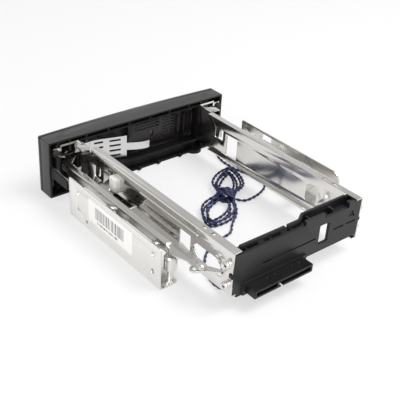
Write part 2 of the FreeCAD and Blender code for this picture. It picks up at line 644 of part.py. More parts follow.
def rear_housing():
    """The moulded rear wall: a thin plate under an open trough that braces it."""
    edge = RAIL_INSIDE
    wall = slab([(-edge, 12.6, 0.5), (-7.0, 12.6, 0.5), (-6.0, 7.6, 0.5), (47.8, 7.6, 0.5),
                 (47.8, 11.0, 0), (edge, 11.0, 0), (edge, HOUSING_TOP, 0),
                 (-edge, HOUSING_TOP, 0)], "xz",
                REAR_INSIDE, RAIL_REAR)
    trough = [(-edge, RAIL_REAR, 0), (-edge, FAR_LIP, 0.6), (-7.0, FAR_LIP, 2.0),
              (-1.0, NEAR_LIP, 2.0), (edge, NEAR_LIP, 0.6), (edge, RAIL_REAR, 0)]
    hollow = [(-edge + 1.6, REAR_INSIDE, 0), (-edge + 1.6, FAR_LIP + 1.6, 0.5),
              (-7.5, FAR_LIP + 1.6, 1.5), (-1.5, NEAR_LIP + 1.6, 1.5),
              (edge - 1.6, NEAR_LIP + 1.6, 0.5), (edge - 1.6, REAR_INSIDE, 0)]
    upper = slab(trough, "xy", SHELF_Z, HOUSING_TOP)
    upper = upper.cut(slab(hollow, "xy", SHELF_Z + 1.6, HOUSING_TOP + 2))
    blocks = []
    for side in (-1, 1):
        inner, outer = sorted((side * (edge - 3.4), side * edge))
        blocks.append(box(inner, outer, 151.2, 157, 28.8, SHELF_Z + 1))
        blocks.append(box(inner, outer, 151.2, 157, 12.6, 20.4))
    bosses = []
    for x in (29.6, 12.4, -44.0):
        bosses.append(rod("z", 2.4, x, 155.4, SHELF_Z + 1, 4.6))
    braces = [box(x, x + 1.2, FAR_LIP + 1, 157, SHELF_Z + 1, HOUSING_TOP - 2.4)
              for x in (-11.0, -30.0)]
    braces += [box(x, x + 1.2, NEAR_LIP + 1, 157, SHELF_Z + 1, HOUSING_TOP - 2.4)
               for x in (6.0, 22.0, 40.0)]
    lever_lug = slab([(20.4, 146.2, 3.4), (27.6, 146.2, 3.4), (28.4, 157.0, 0),
                      (19.6, 157.0, 0)], "xy", LEVER_TOP + 0.2, SHELF_Z + 1)
    rivet_lug = box(edge - 2.4, edge, 147.4, 157, 22.6, 30.4)
    side_hook = box(edge - 4, RAIL_OUTSIDE + 0.6, 155.8, 157.8, 22.4, 24.6)
    shroud = box(PLUG_LOW_X - 2.2, PLUG_HIGH_X + 2.2, 156.5, 159.4, PLUG_BOTTOM - 1.4,
                 PLUG_TOP + 1.4)
    body = fuse([wall, upper, lever_lug, rivet_lug, side_hook, mirrored(side_hook), shroud]
                + blocks + bosses + braces)
    cuts = [panel(-24.2, -16.0, 17.8, 31.4, 0.8, "xz", 154, 160),
            box(-13.2, 29.0, 155.9, 160, 22.9, 24.0),
            box(-37.2, -28.4, 154, 160, 23.6, 24.8),
            box(-48.0, -39.4, 154, 160, 23.6, 24.8),
            box(-40.0, -19.0, 154.5, 160, 35.6, 40),
            box(-3.0, 49.0, 155.4, 160, 36.6, 40),
            box(8.0, 10.4, NEAR_LIP - 1, 155, 37.0, 40),
            box(PLUG_LOW_X, PLUG_HIGH_X, 154, 162, PLUG_BOTTOM, PLUG_TOP),
            rod("z", 1.5, LEVER_PIVOT_X, LEVER_PIVOT_Y, 20, 4.6)]
    star = [(-47.0, 27.4, 0), (-43.8, 29.0, 0), (-40.6, 27.8, 0), (-42.2, 30.8, 0),
            (-40.2, 33.0, 0), (-44.2, 32.2, 0)]
    cuts.append(slab(star, "xz", 157.2, 160))
    for side in (-1, 1):
        flange_room = sorted((side * 44.2, side * 53.0))
        cuts.append(box(flange_room[0], flange_room[1], 146, 160, RAIL_TOP - SHEET, 42))
        bend_room = sorted((side * 50.4, side * 53.0))
        cuts.append(box(bend_room[0], bend_room[1], 146, 160, RAIL_TOP - 1.6, 42))
        for z in SIDE_SCREW_Z:
            start = RAIL_INSIDE - 5 if side > 0 else -RAIL_INSIDE - 0.1
            cuts.append(rod("x", 1.1, start, SIDE_SCREW_Y, z, 5))
    return body.cut(cuts)


def backplane_board():
    board = box(-8.0, 47.2, BOARD_FRONT, BOARD_BACK, 8.2, 21.0)
    holes = [rod("y", 1.3, x, 150, 18.6, 8) for x in (-5.0, 34.0)]
    return board.cut(holes)


def connector_tongues(y_low, y_high, z, thickness):
    """The two blades of a drive connector: a wide one for power, a narrow one for data."""
    middle = (PLUG_LOW_X + PLUG_HIGH_X) / 2
    power = box(middle - 18.9, middle + 1.8, y_low, y_high, z, z + thickness)
    data = box(middle + 7.6, middle + 17.9, y_low, y_high, z, z + thickness)
    keys = [box(middle - 18.9, middle - 17.7, y_low, y_high, z, z + thickness + 1.0),
            box(middle + 16.7, middle + 17.9, y_low, y_high, z, z + thickness + 1.0)]
    return [power, data] + keys


def drive_socket():
    """The socket that the drive's own connector pushes into, facing the door."""
    body = box(PLUG_LOW_X, PLUG_HIGH_X, 147.4, BOARD_FRONT, 10.6, 16.6)
    cavity = []
    for blade in connector_tongues(144, 152.2, 12.7, 1.6):
        cavity.append(blade)
    body = body.cut(cavity)
    horns = []
    for x in (PLUG_LOW_X, PLUG_HIGH_X - 1.6):
        horns.append(box(x, x + 1.6, 144.6, 147.6, 11.4, 15.4))
    return fuse([body] + horns)


def rear_plug():
    """The male connector on the back of the board, with its open mouth to the rear."""
    body = box(PLUG_LOW_X, PLUG_HIGH_X, BOARD_BACK, PLUG_REAR, PLUG_BOTTOM, PLUG_TOP)
    mouth = box(PLUG_LOW_X + 1.3, PLUG_HIGH_X - 1.3, 160.4, PLUG_REAR + 1,
                PLUG_BOTTOM + 1.1, PLUG_TOP - 1.2)
    divider_x = (PLUG_LOW_X + PLUG_HIGH_X) / 2 + 4.0
    divider = box(divider_x, divider_x + 1.4, 160.4, PLUG_REAR, PLUG_BOTTOM, PLUG_TOP)
    body = fuse([body.cut(mouth), divider])
    floor_gap = [box(divider_x - 3.4, divider_x - 1.4, 163.5, 170, PLUG_BOTTOM - 1, 11)]
    marks = [box(x, x + 1.6, 161.0, 162.4, PLUG_TOP - 0.5, PLUG_TOP + 1)
             for x in (1.4, 7.2, 20.6, 26.6)]
    body = body.cut(floor_gap + marks)
    blades = connector_tongues(160.0, PLUG_REAR - 1.2, 11.5, 1.1)
    return fuse([body] + blades)


def contacts(y_low, y_high, z):
    """Gold contact strips laid side by side, fifteen for power and seven for data."""
    middle = (PLUG_LOW_X + PLUG_HIGH_X) / 2
    strips = []
    for first, count in ((middle - 17.3, 15), (middle + 8.2, 7)):
        for index in range(count):
            x = first + 1.27 * index
            strips.append(box(x, x + 0.6, y_low, y_high, z, z + 0.15))
    return Part.makeCompound(strips)


def board_parts():
    """Chips and capacitors soldered to the front of the board."""
    parts = [box(x, x + 3.2, BOARD_FRONT - 1.4, BOARD_FRONT, 18.0, 20.0)
             for x in (0.0, 6.0, 12.0, 18.0)]
    parts.append(rod("y", 1.6, 37.6, BOARD_FRONT - 2.0, 18.9, 2.0))
    return Part.makeCompound(parts)


# Indicator board and its lead --------------------------------------------------------
HEADER_X = -65.4
HEADER_Z = 5.2


def indicator_board():
    board = box(-69.0, -60.4, -6.4, -5.4, 2.6, 36.6)
    return board.cut([box(-69.8, -65.4, -9, -5, 29.4, 37.6), rod("y", 1.2, -66.8, -9, 26.0, 5)])


def indicator_lamps():
    lamps = []
    for z in (31.0, 34.0):
        lamps.append(box(-63.3, -61.7, -7.6, -6.4, z - 0.8, z + 0.8))
    return Part.makeCompound(lamps)


def lead_header(x, y_low, y_high, z):
    """A white two-way wire-to-board header."""
    return box(x - 2.6, x + 2.6, y_low, y_high, z - 2.0, z + 2.0)


LEAD_RADIUS = 1.05
LEAD_HEIGHT = 1.2
FRONT_ROUTE = [(HEADER_X, -1.6, HEADER_Z), (HEADER_X, 4.0, HEADER_Z),
               (-62.0, 12.0, LEAD_HEIGHT), (-56.4, 21.0, LEAD_HEIGHT), (-55.4, 34.0, LEAD_HEIGHT),
               (-56.6, 46.0, 1.6), (-60.0, 56.0, 2.2), (-61.0, 65.0, 2.2), (-56.5, 72.0, 2.0),
               (-48.0, 75.6, 1.3), (-39.0, 77.4, LEAD_HEIGHT), (-31.0, 77.0, LEAD_HEIGHT),
               (-24.6, 72.8, 1.6)]
REAR_ROUTE = [(-8.5, 83.5, 1.6), (-5.6, 94.0, LEAD_HEIGHT), (0.6, 101.4, LEAD_HEIGHT),
              (11.0, 102.4, LEAD_HEIGHT), (22.0, 105.4, LEAD_HEIGHT), (32.0, 112.0, LEAD_HEIGHT),
              (39.4, 121.8, LEAD_HEIGHT), (43.4, 130.6, LEAD_HEIGHT), (44.4, 138.0, LEAD_HEIGHT),
              (44.4, 145.6, 3.4), (44.4, 150.0, 9.0), (44.4, 150.0, 15.0)]


def lead_tube(name, route):
    """A round lead: straight runs joined by tangent arcs as large as the runs allow."""
    places = [point(*p) for p in route]
    edges = []
    start = places[0]
    for before, corner, after in zip(places, places[1:], places[2:]):
        turn = math.pi - (before - corner).getAngle(after - corner)
        shorter = min((before - corner).Length, (after - corner).Length)
        radius = 0.45 * shorter / math.tan(turn / 2)
        print(name, "arc radius", round(radius, 1))
        arc_start, middle, arc_end = corner_arc(before, corner, after, radius)
        edges.append(Part.LineSegment(start, arc_start).toShape())
        edges.append(Part.Arc(arc_start, middle, arc_end).toShape())
        start = arc_end
    edges.append(Part.LineSegment(start, places[-1]).toShape())
    path = Part.Wire(edges)
    ring = Part.makeCircle(LEAD_RADIUS, places[0], places[1] - places[0])
    tube = path.makePipeShell([Part.Wire(ring)], True, False)
    section = math.pi * LEAD_RADIUS ** 2 * path.Length
    print(name, "length", round(path.Length, 1), "volume share", round(tube.Volume / section, 4))
    return tube


def lead_hank():
    """The outer shape of the folded bundle: two flat lobes and the wound waist."""
    lobes = [(-38.5, 52.0, 9.8, 19.5, -43.6), (-5.4, 79.2, 9.8, 17.5, -56.0)]
    parts = []
    for x, y, half_width, half_length, angle in lobes:
        lobe = Part.makeCylinder(1, 4.6)
        stretch = FreeCAD.Matrix()
        stretch.scale(half_width, half_length, 1)
        lobe = lobe.transformGeometry(stretch)
        lobe.rotate(point(0, 0, 0), point(0, 0, 1), angle)
        lobe.translate(point(x, y, 0.15))
        parts.append(lobe)
    waist = Part.makeCylinder(7.0, 8.0, point(-22.6, 68.2, 0.15))
    return fuse(parts + [waist])


# Fasteners and label -----------------------------------------------------------------
def pan_screw(axis, x, y, z, head_radius, shank_radius, length):
    """A screw with a low domed head that rests at (x, y, z) and points to the cage."""
    crown = head_radius * 0.34
    head = rod("z", head_radius, 0, 0, 0, crown)
    head = head.fuse(Part.makeCone(head_radius, head_radius * 0.62, crown, point(0, 0, crown)))
    screw = fuse([head, rod("z", shank_radius, 0, 0, -length, length)])
    if axis == "x":
        screw.rotate(point(0, 0, 0), point(0, 1, 0), 90)
    elif axis == "-x":
        screw.rotate(point(0, 0, 0), point(0, 1, 0), -90)
    elif axis == "y":
        screw.rotate(point(0, 0, 0), point(1, 0, 0), -90)
    screw.translate(point(x, y, z))
    return screw


def bezel_screws():
    screws = []
    for side in (-1, 1):
        for x, z in FRAME_BOSSES:
            screws.append(pan_screw("y", side * x, BOSS_BACK + SHEET, z, 2.3, 0.9, 6.0))
    return Part.makeCompound(screws)


def tongue_screws():
    """Two short screws that hold the bracket tongues to the bezel's side walls."""
    inside = BEZEL_WIDTH / 2 - WALL - SHEET
    screws = [pan_screw("-x", inside, -3.4, 14.1, 2.0, 1.2, 2.2),
              pan_screw("x", -inside, -3.4, 14.1, 2.0, 1.2, 2.2)]
    return Part.makeCompound(screws)


def rear_screws():
    screws = []
    for z in SIDE_SCREW_Z:
        screws.append(pan_screw("x", RAIL_OUTSIDE, SIDE_SCREW_Y, z, 2.5, 1.1, 3.8))
        screws.append(pan_screw("-x", -RAIL_OUTSIDE, SIDE_SCREW_Y, z, 2.5, 1.1, 3.8))
    return Part.makeCompound(screws)


def rail_rivets():
    """Domed rivets that clinch the rails to the rear housing."""
    dome = Part.makeSphere(2.6, point(RAIL_OUTSIDE - 1.9, 149.0, 25.6))
    dome = dome.common(box(RAIL_OUTSIDE, RAIL_OUTSIDE + 3, 140, 160, 20, 30))
    return Part.makeCompound([dome, mirrored(dome)])


def bracket_label():
    return panel(46.6, 94.0, 8.6, 24.6, 0.8, "yz", BAY_HALF, BAY_HALF + 0.12)


def build():
    os.makedirs("parts", exist_ok=True)
    frame = bezel_frame()
    arm = door_arm()
    save("bezel_fascia", fascia())
    save("bezel_frame", frame)
    save("door_panel", door_panel().cut(arm))
    save("pressure_spring", pressure_spring())
    save("spring_rivets", spring_rivets())
    save("door_arm", arm)
    save("door_arm_pin", arm_pin())
    save("hinge_pin", hinge_pin())
    save("indicator_lenses", indicator_lenses())
    save("latch_slider", latch_slider())
    save("catch_hook", catch_hook())
    save("near_side_rail", near_side_rail())
    save("far_side_rail", far_side_rail())
    save("near_mounting_bracket", near_mounting_bracket())
    save("far_mounting_bracket", far_mounting_bracket())
    save("near_bracket_spacers", bracket_spacers(1))
    save("far_bracket_spacers", bracket_spacers(-1))
    save("bar_guide_bushes", Part.makeCompound([guide_bush(66.0), guide_bush(117.4)]))
    save("bar_guide_posts", guide_posts())
    save("guide_block", guide_block())
    save("link_bar", link_bar())
    save("bar_pad", bar_pad())
    save("link_rivet", link_rivet())
    save("eject_lever", eject_lever())
    save("lever_pivot_screw", lever_pivot_screw())
    save("rear_housing", rear_housing())
    save("backplane_board", backplane_board())
    save("drive_socket", drive_socket())
    save("socket_contacts", contacts(147.8, 152.0, 12.7))
    save("rear_plug", rear_plug())
    save("plug_contacts", contacts(160.8, PLUG_REAR - 1.6, 12.6))
    save("board_parts", board_parts())
    save("indicator_board", indicator_board())
    save("indicator_lamps", indicator_lamps())
    save("front_lead_header", lead_header(HEADER_X, -5.4, -1.6, HEADER_Z))
    rear_end = REAR_ROUTE[-1]
    save("rear_lead_header", box(rear_end[0] - 2.2, rear_end[0] + 2.2, rear_end[1] - 2,
                                 BOARD_FRONT, rear_end[2], rear_end[2] + 4))
    save("rail_rivets", rail_rivets())
    save("lead_front_run", lead_tube("front run", FRONT_ROUTE))
    save("lead_rear_run", lead_tube("rear run", REAR_ROUTE))
    save("lead_hank", lead_hank())
    save("bezel_screws", bezel_screws())
    save("tongue_screws", tongue_screws())
    save("rear_screws", rear_screws())
    save("bracket_label", bracket_label())


build()
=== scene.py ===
import json
import math
import bmesh
import bpy
import numpy as np
from mathutils import Matrix, Vector


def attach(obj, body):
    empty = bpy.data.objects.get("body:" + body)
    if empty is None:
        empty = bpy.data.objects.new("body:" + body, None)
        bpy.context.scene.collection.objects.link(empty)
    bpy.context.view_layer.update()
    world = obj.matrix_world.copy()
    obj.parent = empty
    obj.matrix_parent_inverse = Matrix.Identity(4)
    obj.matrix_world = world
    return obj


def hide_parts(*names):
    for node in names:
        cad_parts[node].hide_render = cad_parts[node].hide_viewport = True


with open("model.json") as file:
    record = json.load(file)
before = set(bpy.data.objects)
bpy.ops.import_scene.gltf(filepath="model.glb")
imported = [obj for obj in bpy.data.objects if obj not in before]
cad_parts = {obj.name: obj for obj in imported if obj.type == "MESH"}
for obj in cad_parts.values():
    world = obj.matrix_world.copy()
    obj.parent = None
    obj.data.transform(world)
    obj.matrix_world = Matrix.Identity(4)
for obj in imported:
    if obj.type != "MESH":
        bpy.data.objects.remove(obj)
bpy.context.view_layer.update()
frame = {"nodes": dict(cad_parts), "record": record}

scene = bpy.context.scene
scene.view_settings.view_transform = "Standard"

# Places are given in millimetres from the back of the bezel: X = 0 is the middle of the cage
# and Z = 0 the surface that it stands on. The frame's origin lies MIDDLE_Y further back.
MM = 0.001
MIDDLE_Y = 75.8


def here(x, y, z):
    """A place in millimetres from the back of the bezel, as a point of the frame in metres."""
    return (x * MM, (y - MIDDLE_Y) * MM, z * MM)


# The camera: it looks over the right rear corner, a long lens from a bit over half a metre.
SENSOR_WIDTH, FOCAL_LENGTH = 36.0, 70.11
CAMERA_PLACE = (288.76, 399.26, 279.35)
CAMERA_AZIMUTH, CAMERA_ELEVATION, CAMERA_ROLL = 138.95, 31.65, 3.8


def camera_axes(azimuth, elevation, roll):
    """Right, up and back vectors of a camera at azimuth a and elevation e on a sphere, where
    back is (sin a cos e, -cos a cos e, sin e), turned by the roll about its line of sight."""
    a, e, r = (math.radians(v) for v in (azimuth, elevation, roll))
    back = Vector((math.sin(a) * math.cos(e), -math.cos(a) * math.cos(e), math.sin(e)))
    right = (-back).cross(Vector((0, 0, 1))).normalized()
    up = right.cross(-back)
    return right * math.cos(r) + up * math.sin(r), up * math.cos(r) - right * math.sin(r), back


lens = bpy.data.cameras.new("camera")
lens.sensor_width = SENSOR_WIDTH
lens.lens = FOCAL_LENGTH
lens.clip_start = 0.01
camera = bpy.data.objects.new("camera", lens)
scene.collection.objects.link(camera)
turn = Matrix(camera_axes(CAMERA_AZIMUTH, CAMERA_ELEVATION, CAMERA_ROLL)).transposed()
camera.matrix_world = Matrix.Translation(here(*CAMERA_PLACE)) @ turn.to_4x4()
scene.camera = camera


# Finishes: helpers that build the node trees. Patterns follow Object coordinates, so they stay
# on a piece when it moves. MASK is a value that a mesh carries at its points.
MASK = "second_tone"


def links_for(material):
    """The node tree of a material, its shader and a helper that adds a node with values."""
    tree = material.node_tree
    shader = tree.nodes["Principled BSDF"]

    def add(kind, **values):
        node = tree.nodes.new(kind)
        for key, value in values.items():
            if key.startswith("_"):
                setattr(node, key[1:], value)
            else:
                node.inputs[key.replace("_", " ")].default_value = value
        return node
    return tree, shader, add


def finish_of(name, **values):
    """A new material whose plain numbers are set on the shader itself."""
    material = bpy.data.materials.new(name)
    material.use_nodes = True
    tree, shader, add = links_for(material)
    for key, value in values.items():
        shader.inputs[key.replace("_", " ")].default_value = value
    return material, tree, shader, add


def object_axes(tree, add):
    """A node whose outputs X, Y and Z are the Object coordinates."""
    split = add("ShaderNodeSeparateXYZ")
    tree.links.new(add("ShaderNodeTexCoord").outputs["Object"], split.inputs["Vector"])
    return split


def two_tone(tree, shader, add, mask, first, second):
    """The base colour: the first tone where the mask is 0 and the second where it is 1."""
    tone = add("ShaderNodeMix", _data_type="RGBA")
    tone.inputs[6].default_value, tone.inputs[7].default_value = (*first, 1), (*second, 1)
    tree.links.new(mask, tone.inputs[0])
    tree.links.new(tone.outputs[2], shader.inputs["Base Color"])


def varied_gloss(tree, shader, add, scale, detail, low, high):
    """Fine noise varies the roughness from low to high."""
    place = add("ShaderNodeTexCoord")
    noise = add("ShaderNodeTexNoise", Scale=scale, Detail=detail)
    gloss = add("ShaderNodeMapRange", To_Min=low, To_Max=high)
    tree.links.new(place.outputs["Object"], noise.inputs["Vector"])
    tree.links.new(noise.outputs["Fac"], gloss.inputs["Value"])
    tree.links.new(gloss.outputs["Result"], shader.inputs["Roughness"])


def product(tree, add, *masks):
    """The product of several masks."""
    whole = masks[0]
    for mask in masks[1:]:
        node = add("ShaderNodeMath", _operation="MULTIPLY")
        tree.links.new(whole, node.inputs[0])
        tree.links.new(mask, node.inputs[1])
        whole = node.outputs[0]
    return whole


def compared(tree, add, value, operation, limit):
    """1 where the comparison of value with the limit is true, 0 elsewhere."""
    test = add("ShaderNodeMath", _operation=operation)
    test.inputs[1].default_value = limit
    tree.links.new(value, test.inputs[0])
    return test.outputs[0]


def within(tree, add, value, low, high):
    """1 where value lies between low and high, 0 outside."""
    return product(tree, add, compared(tree, add, value, "GREATER_THAN", low),
                   compared(tree, add, value, "LESS_THAN", high))


def noise_masks(name, *masks):
    """A node group with a noise mask for each (label, scale, detail, stretch), where the
    coordinates are multiplied by the stretch."""
    tree = bpy.data.node_groups.new(name, "ShaderNodeTree")
    for label, *_ in masks:
        tree.interface.new_socket(label, in_out="OUTPUT", socket_type="NodeSocketFloat")
    end = tree.nodes.new("NodeGroupOutput")
    place = tree.nodes.new("ShaderNodeTexCoord")
    for label, scale, detail, stretch in masks:
        mapping = tree.nodes.new("ShaderNodeMapping")
        mapping.inputs["Scale"].default_value = stretch
        noise = tree.nodes.new("ShaderNodeTexNoise")
        noise.inputs["Scale"].default_value = scale
        noise.inputs["Detail"].default_value = detail
        tree.links.new(place.outputs["Object"], mapping.inputs["Vector"])
        tree.links.new(mapping.outputs["Vector"], noise.inputs["Vector"])
        tree.links.new(noise.outputs["Fac"], end.inputs[label])
    return tree


def patterned(name, group, wide, fine, tones, roughness, bump, depth, **values):
    """A finish whose colour and roughness follow the wide mask of a group, and its bump the
    fine one. Tones and roughness are pairs for the two ends of the wide mask."""
    material, tree, shader, add = finish_of(name, **values)
    masks = add("ShaderNodeGroup", _node_tree=group)
    two_tone(tree, shader, add, masks.outputs[wide], *tones)
    gloss = add("ShaderNodeMapRange", From_Min=0.3, From_Max=0.7,
                To_Min=roughness[0], To_Max=roughness[1])
    relief = add("ShaderNodeBump", Strength=bump, Distance=depth)
    tree.links.new(masks.outputs[wide], gloss.inputs["Value"])
    tree.links.new(gloss.outputs["Result"], shader.inputs["Roughness"])
    tree.links.new(masks.outputs[fine], relief.inputs["Height"])
    tree.links.new(relief.outputs["Normal"], shader.inputs["Normal"])
    return material


# Pieces: a skin over rings of points, a CAD piece with softened edges, and a CAD piece that
# only takes a finish. Bevels are applied, and a face counts as curved by its edges' turns.
MERGE_DISTANCE = 0.002 * MM
COPLANAR_ANGLE, EDGE_ANGLE = math.radians(0.6), math.radians(38)
SLIGHT_TURN, SHARP_TURN = math.radians(0.8), math.radians(14)
FLAT_FACE_WIDTH = 1.2 * MM
BODY_OF = {node: body for body, nodes in frame["record"]["behaviour"]["bodies"].items()
           for node in nodes}


def capped_tube(name, rings, mask):
    """A closed skin over rings of points (rows, columns, 3), with a cap at each end and a mask
    value at each point."""
    rows, columns = rings.shape[:2]
    index = np.arange(rows * columns).reshape(rows, columns)
    caps = [index[0][::-1].tolist(), index[-1].tolist()]
    index = np.hstack([index, index[:, :1]])
    quads = np.stack([index[:-1, :-1], index[:-1, 1:], index[1:, 1:], index[1:, :-1]], -1)
    mesh = bpy.data.meshes.new(name)
    mesh.from_pydata(rings.reshape(-1, 3).tolist(), [], quads.reshape(-1, 4).tolist() + caps)
    mesh.polygons.foreach_set("use_smooth", [True] * len(mesh.polygons))
    mesh.attributes.new(MASK, "FLOAT", "POINT").data.foreach_set("value", mask)
    piece = bpy.data.objects.new(name, mesh)
    scene.collection.objects.link(piece)
    return piece


def softened(node, material, width):
    """A copy of a CAD piece with its doubles merged and flat faces joined, and its edges rounded
    by a small bevel, so that they catch the light. Wide faces whose edges all turn sharply are
    flat, so they are shaded flat, and the narrow strips between them are shaded smooth."""
    mesh = frame["nodes"][node].data.copy()
    solid = bmesh.new()
    solid.from_mesh(mesh)
    bmesh.ops.remove_doubles(solid, verts=solid.verts, dist=MERGE_DISTANCE)
    bmesh.ops.dissolve_limit(solid, angle_limit=COPLANAR_ANGLE, verts=solid.verts,
                             edges=solid.edges)
    solid.to_mesh(mesh)
    solid.free()
    draft = bpy.data.objects.new(node + "_draft", mesh)
    scene.collection.objects.link(draft)
    edge = draft.modifiers.new("edge", "BEVEL")
    edge.width = width
    edge.segments = 2
    edge.limit_method = "ANGLE"
    edge.angle_limit = EDGE_ANGLE
    depsgraph = bpy.context.evaluated_depsgraph_get()
    finished = bpy.data.meshes.new_from_object(draft.evaluated_get(depsgraph))
    bpy.data.objects.remove(draft)
    solid = bmesh.new()
    solid.from_mesh(finished)
    for face in solid.faces:
        turns = [e.calc_face_angle(0.0) for e in face.edges if len(e.link_faces) == 2]
        longest = max(e.calc_length() for e in face.edges)
        curved = any(SLIGHT_TURN < t < SHARP_TURN for t in turns)
        face.smooth = curved or face.calc_area() / longest < FLAT_FACE_WIDTH
    solid.to_mesh(finished)
    solid.free()
    finished.materials.clear()
    finished.materials.append(material)
    piece = bpy.data.objects.new(node + "_finished", finished)
    scene.collection.objects.link(piece)
    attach(piece, BODY_OF[node])
    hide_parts(node)
    return piece


def dress(node, material):
    """Gives a CAD piece its finish."""
    mesh = frame["nodes"][node].data
    mesh.materials.clear()
    mesh.materials.append(material)


# The lead: a pair of thin insulated wires, one blue and one black, twisted together. It runs
# from the light board in the bezel to the board at the rear, and its spare length is folded
# into a flat bow that is wrapped at its waist and lies on the floor of the cage.
LEAD_DIAMETER = 2.0 * MM
LEAD_PITCH = 9 * MM
LEAD_HEIGHT = 1.2
LINE_STEP = 0.6 * MM
STRAND_SIDES, STRAND_SWELL = 8, 1.04
FRONT_ROUTE = [(-65.4, -1.6, 5.2), (-65.4, 4.0, 5.2), (-62.0, 12.0, LEAD_HEIGHT),
               (-56.4, 21.0, LEAD_HEIGHT), (-55.4, 34.0, LEAD_HEIGHT), (-56.6, 46.0, 1.6),
               (-60.0, 56.0, 2.2), (-61.0, 65.0, 2.2), (-56.5, 72.0, 2.0), (-48.0, 75.6, 1.3),
               (-39.0, 77.4, LEAD_HEIGHT), (-31.0, 77.0, LEAD_HEIGHT)]
REAR_ROUTE = [(-5.6, 94.0, LEAD_HEIGHT), (0.6, 101.4, LEAD_HEIGHT), (11.0, 102.4, LEAD_HEIGHT),
              (22.0, 105.4, LEAD_HEIGHT), (32.0, 112.0, LEAD_HEIGHT), (39.4, 121.8, LEAD_HEIGHT),
              (43.4, 130.6, LEAD_HEIGHT), (44.4, 138.0, LEAD_HEIGHT), (44.4, 145.6, 3.4),
              (44.4, 150.0, 9.0), (44.4, 150.0, 15.0)]

# The bow: how far each turn reaches to its tip and how wide its lobe is there, the room that
# the turns take beside each other at the waist, and the later turns that lie on the first.
FRONT_TIP, WAIST, REAR_TIP = (np.array(p) for p in ((-51.5, 39.0), (-22.6, 68.2), (8.5, 88.5)))
BOW_AXIS = (REAR_TIP - FRONT_TIP) / np.linalg.norm(REAR_TIP - FRONT_TIP)
BOW_TURNS, BOW_POINTS_PER_TURN = 4, 18
REAR_REACH, REAR_WIDTH = (1.0, 0.93, 0.86, 0.95, 1.0, 1.0), (9.4, 7.0, 5.2, 8.0, 9.6, 9.6)
FRONT_REACH, FRONT_WIDTH = (1.0, 0.90, 0.80, 0.97, 1.0, 1.0), (8.4, 6.0, 3.8, 7.2, 8.8, 8.8)
WAIST_STEP = (3.4, 1.2, 1.2, 3.4, 3.6, 3.6)
CLIMB, DESCENT = (1.55, 2.1), (4.0, 4.14)
UPPER_LAYER, WAIST_RISE, WAIST_SHARE = 2.3, 2.2, 0.22


def bow_place(t):
    """Where the strand is after t turns. The angle p = pi / 2 - 2 pi t goes round the bow: its
    cosine c is the way from the front tip (-1) through the waist (0) to the rear tip (1), and
    its sine the side. The strand is |c|^0.9 of the way out and stands w sin(pi |c|^0.75)^0.8
    from the middle of its lobe, plus its own step at the waist."""
    p = math.pi / 2 - 2 * math.pi * t
    c, side = math.cos(p), math.sin(p)
    rear = REAR_TIP, REAR_REACH, REAR_WIDTH
    front = FRONT_TIP, FRONT_REACH, FRONT_WIDTH
    tip, reach, wide = rear if c > 0 else front
    whole = range(BOW_TURNS + 2)
    way = abs(c) ** 0.9 * np.interp(t, whole, reach)
    middle = WAIST + (tip - WAIST) * way
    ahead = (tip - WAIST) / np.linalg.norm(tip - WAIST) * (1 if c > 0 else -1)
    ahead = BOW_AXIS + (ahead - BOW_AXIS) * min(1.0, 3 * abs(c))
    across = np.array((-ahead[1], ahead[0])) / np.linalg.norm(ahead)
    width = np.interp(t, whole, wide) * math.sin(math.pi * min(abs(c) ** 0.75, 1.0)) ** 0.8
    step = np.interp(t, whole, WAIST_STEP) * abs(side)
    x, y = middle + across * math.copysign(width + step, side)
    lifted = np.interp(t, CLIMB, (0, 1)) - np.interp(t, DESCENT, (0, 1))
    rise = WAIST_RISE * math.exp(-(c / WAIST_SHARE) ** 2)
    return x, y, LEAD_HEIGHT + UPPER_LAYER * lifted + rise


WRAP_TURNS, WRAP_POINTS = 4.3, 160
WRAP_MIDDLE = 4.6
WRAP_LENGTH, WRAP_HALF_WIDTH, WRAP_HALF_HEIGHT = 9.0 * MM, 5.6 * MM, 3.4 * MM


def wrap_line():
    """The winding round the waist: at the angle q it stands w cos q across the bow and h sin q
    up, and moves along it from one end of its length to the other, a little unevenly."""
    q = np.linspace(0, 2 * math.pi * WRAP_TURNS, WRAP_POINTS)[:, None]
    along, upward = np.append(BOW_AXIS, 0.0), np.array((0, 0, 1.0))
    way = q / q[-1] - 0.5 + 0.015 * np.sin(q * 0.37)
    return (np.array(here(*WAIST, WRAP_MIDDLE)) + WRAP_LENGTH * way * along
            + WRAP_HALF_WIDTH * np.cos(q) * np.cross(upward, along)
            + WRAP_HALF_HEIGHT * np.sin(q) * upward)


def smooth_line(name, points):
    """The points of a NURBS line of order 3 whose control points are given, end to end."""
    curve = bpy.data.curves.new(name, "CURVE")
    curve.dimensions = "3D"
    curve.resolution_u = 12
    spline = curve.splines.new("NURBS")
    spline.points.add(len(points) - 1)
    for place, p in zip(spline.points, points):
        place.co = (*here(*p), 1.0)
    spline.order_u = 3
    spline.use_endpoint_u = True
    line = bpy.data.objects.new(name, curve)
    scene.collection.objects.link(line)
    bpy.context.view_layer.update()
    mesh = bpy.data.meshes.new_from_object(line)
    co = np.empty(len(mesh.vertices) * 3)
    mesh.vertices.foreach_get("co", co)
    bpy.data.objects.remove(line)
    return co.reshape(-1, 3)


def evenly(line, step):
    """The line again with its points a fixed step apart, and their arc lengths."""
    run = np.r_[0, np.cumsum(np.linalg.norm(np.diff(line, axis=0), axis=1))]
    s = np.linspace(0, run[-1], int(run[-1] / step) + 2)
    return np.stack([np.interp(s, run, line[:, k]) for k in range(3)], 1), s


